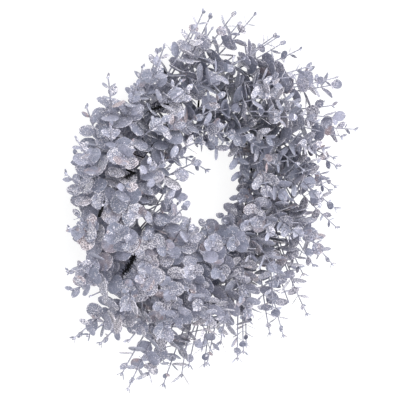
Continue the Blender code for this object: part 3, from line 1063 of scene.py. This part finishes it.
def leaf_reads(tree):
    """What a leaf's material reads at each point: tone, glitter and copper, then its flat coordinates."""
    look = add_node(tree, "ShaderNodeAttribute", attribute_name="look")
    parts = add_node(tree, "ShaderNodeSeparateColor", {0: look.outputs["Color"]}).outputs
    flat = add_node(tree, "ShaderNodeAttribute", attribute_name="flat")
    along, across, _ = add_node(tree, "ShaderNodeSeparateXYZ", {0: flat.outputs["Vector"]}).outputs
    return parts[0], parts[1], parts[2], (along, across)


def glitter_coat(tree, glitter, patches, flat, flake):
    """1 where a flake of glitter lies, more often in some patches, and along the rim as a painted rim
    highlight.
    """
    patchy = math_node(tree, "MULTIPLY", math_node(tree, "SUBTRACT", patches, 0.5), COAT_PATCHES)
    rim = math_node(tree, "MULTIPLY", leaf_rim(tree, flat), PAINTED_RIM_HIGHLIGHT)
    spread = math_node(tree, "ADD", glitter, math_node(tree, "ADD", patchy, rim))
    return math_node(tree, "LESS_THAN", flake, spread)


def leaf_material():
    """Silver-grey with paler veins, glitter on some leaves whose bright flakes are partly a painted glint,
    most at the rim as a painted rim highlight, and a copper tint on a few.
    """
    material, tree, shader = new_material("silvered_leaf")
    tone, glitter, copper, flat = leaf_reads(tree)
    place = add_node(tree, "ShaderNodeTexCoord").outputs["Object"]

    clouds = noise(tree, place, *CLOUDS)
    patches = noise(tree, place, *PATCHES)
    specks = noise(tree, place, *SPECKS)
    veins = vein_height(tree, flat)
    mottle = weighted(tree, (clouds, CLOUD_WEIGHT), (specks, SPECK_WEIGHT))
    shade = math_node(tree, "ADD", tone, math_node(tree, "SUBTRACT", mottle, MOTTLE_LEVEL))
    shade = math_node(tree, "ADD", shade, math_node(tree, "MULTIPLY", veins, VEIN_PALER), clamp=True)
    colour = mix_colour(tree, shade, DEEP, PALE)
    tinted = math_node(tree, "MULTIPLY", copper, ramp(tree, patches, *COPPER_PATCHES))
    colour = mix_colour(tree, tinted, colour, COPPER)

    flakes = add_node(tree, "ShaderNodeTexVoronoi", {"Vector": place, "Scale": FLAKES_PER_METRE})
    flake = add_node(tree, "ShaderNodeSeparateColor", {0: flakes.outputs["Color"]}).outputs
    # The flakes' colour, whose bright threads are partly a painted glint
    glitter_and_painted_glint_colour = mix_colour(tree, glitter_and_painted_glint_net(tree, place, flake[0]), SPECK, GLITTER_AND_PAINTED_GLINT)
    coat = glitter_coat(tree, glitter, patches, flat, flake[1])
    colour = mix_colour(tree, math_node(tree, "MULTIPLY", coat, COAT_COVER), colour, glitter_and_painted_glint_colour)
    colour = mix_colour(tree, tinted, colour, COPPER_GLOW, "MULTIPLY")
    tree.links.new(colour, shader.inputs["Base Color"])

    smoother = math_node(tree, "MULTIPLY", coat, COAT_SMOOTHER)
    roughness = math_node(tree, "SUBTRACT", LEAF_ROUGHNESS, smoother)
    tree.links.new(roughness, shader.inputs["Roughness"])
    shader.inputs["Specular IOR Level"].default_value = LEAF_SPECULAR
    shader.inputs["Sheen Weight"].default_value = LEAF_SHEEN
    shader.inputs["Sheen Roughness"].default_value = SHEEN_ROUGHNESS
    grain = weighted(tree, (veins, VEIN_BUMP), (clouds, CLOUD_BUMP))
    facets = math_node(tree, "MULTIPLY", math_node(tree, "MULTIPLY", flake[2], coat), FLAKE_BUMP)
    add_bump(tree, shader, math_node(tree, "ADD", grain, facets), LEAF_BUMP_HEIGHT, BUMP_STRENGTH)
    return material


STEM_DEEP = (0.18, 0.18, 0.225, 1)
STEM_PALE = (0.44, 0.44, 0.515, 1)
STEM_CLOUDS = (500.0, 3.0)
STEM_RANGE = (0.35, 0.7)
STEM_ROUGHNESS = 0.6
STEM_BUMP_HEIGHT = 0.0003


def stem_material():
    """Dusty grey, paler in places."""
    material, tree, shader = new_material("silvered_stem")
    place = add_node(tree, "ShaderNodeTexCoord").outputs["Object"]
    clouds = noise(tree, place, *STEM_CLOUDS)
    colour = mix_colour(tree, ramp(tree, clouds, *STEM_RANGE), STEM_DEEP, STEM_PALE)
    tree.links.new(colour, shader.inputs["Base Color"])
    shader.inputs["Roughness"].default_value = STEM_ROUGHNESS
    add_bump(tree, shader, clouds, STEM_BUMP_HEIGHT, BUMP_STRENGTH)
    return material


WIRE_BLACK = (0.004, 0.004, 0.005, 1)
WIRE_DUST = (0.018, 0.018, 0.021, 1)
DUST = (260.0, 4.0)
DUST_RANGE = (0.5, 0.8)
WIRE_ROUGHNESS = 0.7
WIRE_SPECULAR = 0.12
WIRE_BUMP_HEIGHT = 0.0004
WIRE_BUMP_STRENGTH = 0.5


def wire_material():
    """Dull black, dusty in places."""
    material, tree, shader = new_material("black_wire")
    place = add_node(tree, "ShaderNodeTexCoord").outputs["Object"]
    dust = noise(tree, place, *DUST)
    colour = mix_colour(tree, ramp(tree, dust, *DUST_RANGE), WIRE_BLACK, WIRE_DUST)
    tree.links.new(colour, shader.inputs["Base Color"])
    shader.inputs["Roughness"].default_value = WIRE_ROUGHNESS
    shader.inputs["Specular IOR Level"].default_value = WIRE_SPECULAR
    add_bump(tree, shader, dust, WIRE_BUMP_HEIGHT, WIRE_BUMP_STRENGTH)
    return material


# Floor, light and camera

FLOOR_SIZE = 6.0
FLOOR_GLOW = 0.88
FLOOR_COLOUR = (0.16, 0.16, 0.16, 1)
FLOOR_ROUGHNESS = 0.9
SKY_COLOUR = (0.97, 0.98, 1.0, 1)
SKY_STRENGTH = 1.1
Light = namedtuple("Light", "name place size power")
LIGHTS = (
    Light("key_light", (1.7, -1.1, 1.9), 2.8, 80),
    Light("fill_light", (-0.3, 2.0, 1.9), 2.6, 42),
)
LIT_PLACE = (0, 0, 0.04)

CAMERA_DISTANCE = 1.4
LOOK_HEIGHT = 0.045
METRES_PER_PIXEL = 0.00147
PHOTO_SIZE = 400
LOOKED_AT_PIXEL = (209.2, 193.1)
SENSOR = 36


def make_floor():
    bpy.ops.mesh.primitive_plane_add(size=FLOOR_SIZE)
    floor = bpy.context.object
    floor.name = "pale_floor"
    material, _, shader = new_material("pale_floor")
    shader.inputs["Base Color"].default_value = FLOOR_COLOUR
    shader.inputs["Roughness"].default_value = FLOOR_ROUGHNESS
    shader.inputs["Emission Color"].default_value = (1, 1, 1, 1)
    shader.inputs["Emission Strength"].default_value = FLOOR_GLOW
    floor.data.materials.append(material)


def aim(obj, place, target):
    obj.location = place
    back = unit(np.array(place) - np.array(target))
    right = unit(np.cross(UP, back))
    rotation = Matrix([right, np.cross(back, right), back]).transposed()
    obj.rotation_euler = rotation.to_euler()


def area_light(name, place, size, power):
    data = bpy.data.lights.new(name, "AREA")
    data.shape = "DISK"
    data.size = size
    data.energy = power
    light = bpy.data.objects.new(name, data)
    bpy.context.scene.collection.objects.link(light)
    aim(light, place, LIT_PLACE)


def light_studio():
    world = bpy.data.worlds.new("soft_sky")
    world.use_nodes = True
    sky = world.node_tree.nodes["Background"]
    sky.inputs["Color"].default_value = SKY_COLOUR
    sky.inputs["Strength"].default_value = SKY_STRENGTH
    bpy.context.scene.world = world
    for light in LIGHTS:
        area_light(*light)


def make_camera():
    right, up, back = view_axes()
    data = bpy.data.cameras.new("photo_camera")
    data.sensor_width = SENSOR
    data.lens = SENSOR * CAMERA_DISTANCE / (PHOTO_SIZE * METRES_PER_PIXEL)
    data.shift_x = 0.5 - LOOKED_AT_PIXEL[0] / PHOTO_SIZE
    data.shift_y = LOOKED_AT_PIXEL[1] / PHOTO_SIZE - 0.5
    camera = bpy.data.objects.new("photo_camera", data)
    bpy.context.scene.collection.objects.link(camera)
    matrix = Matrix([right, up, back]).transposed().to_4x4()
    matrix.translation = CENTRE + UP * LOOK_HEIGHT + back * CAMERA_DISTANCE
    camera.matrix_world = matrix
    bpy.context.scene.camera = camera


def hoops_centre():
    low, high = (np.array(corner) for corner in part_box("wire_frame"))
    return (low + high) / 2 * (1, 1, 0)


def main():
    bpy.context.scene.view_settings.view_transform = "Standard"
    make_camera()
    make_floor()
    light_studio()

    rng = random.Random(SEED)
    thicket = Thicket()
    sprays = grow_stems([*tip_plans("outer_spray", OUTER_TIPS, TIP_LEAF), *row_plans(ROWS)], thicket, rng)
    grow_leaves(sprays, thicket, SOLID_GROWTH, rng)
    thicket.room = ADDED_ROOM
    thicket.sights = open_sights()
    added_plans = [
        *tip_plans("added_face", FACE_TIPS, FACE_LEAF, OUTER_HOOP, FACE_LEAD),
        *tip_plans("added_broad", BROAD_TIPS, BROAD_LEAF),
        *tip_plans(MOUTH, MOUTH_TIPS, BROAD_LEAF, INNER_HOOP, MOUTH_LEAD),
        *tip_plans("added_rim", RIM_TIPS, RIM_LEAF),
        *row_plans(ADDED_ROWS),
    ]
    added_sprays = grow_stems(added_plans, thicket, rng, CAD_BOX[1][2] - STEM_WIDTH)
    grow_leaves(added_sprays, thicket, ADDED_GROWTH, rng)
    leafy = [spray for spray in added_sprays if len(spray.leaves) >= FEWEST_LEAVES * spray.length]
    foliage = [leaf_material(), stem_material()]
    for spray in sprays:
        piece = spray_piece(spray, thicket, foliage, rng)
        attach(piece, "root")
        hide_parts(spray.name)
    for spray in leafy:
        piece = spray_piece(spray, thicket, foliage, rng)
        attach(piece, "root")
    piece = frame_piece(wire_material(), rng)
    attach(piece, "root")
    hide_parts("wire_frame")


CENTRE = hoops_centre()
main()
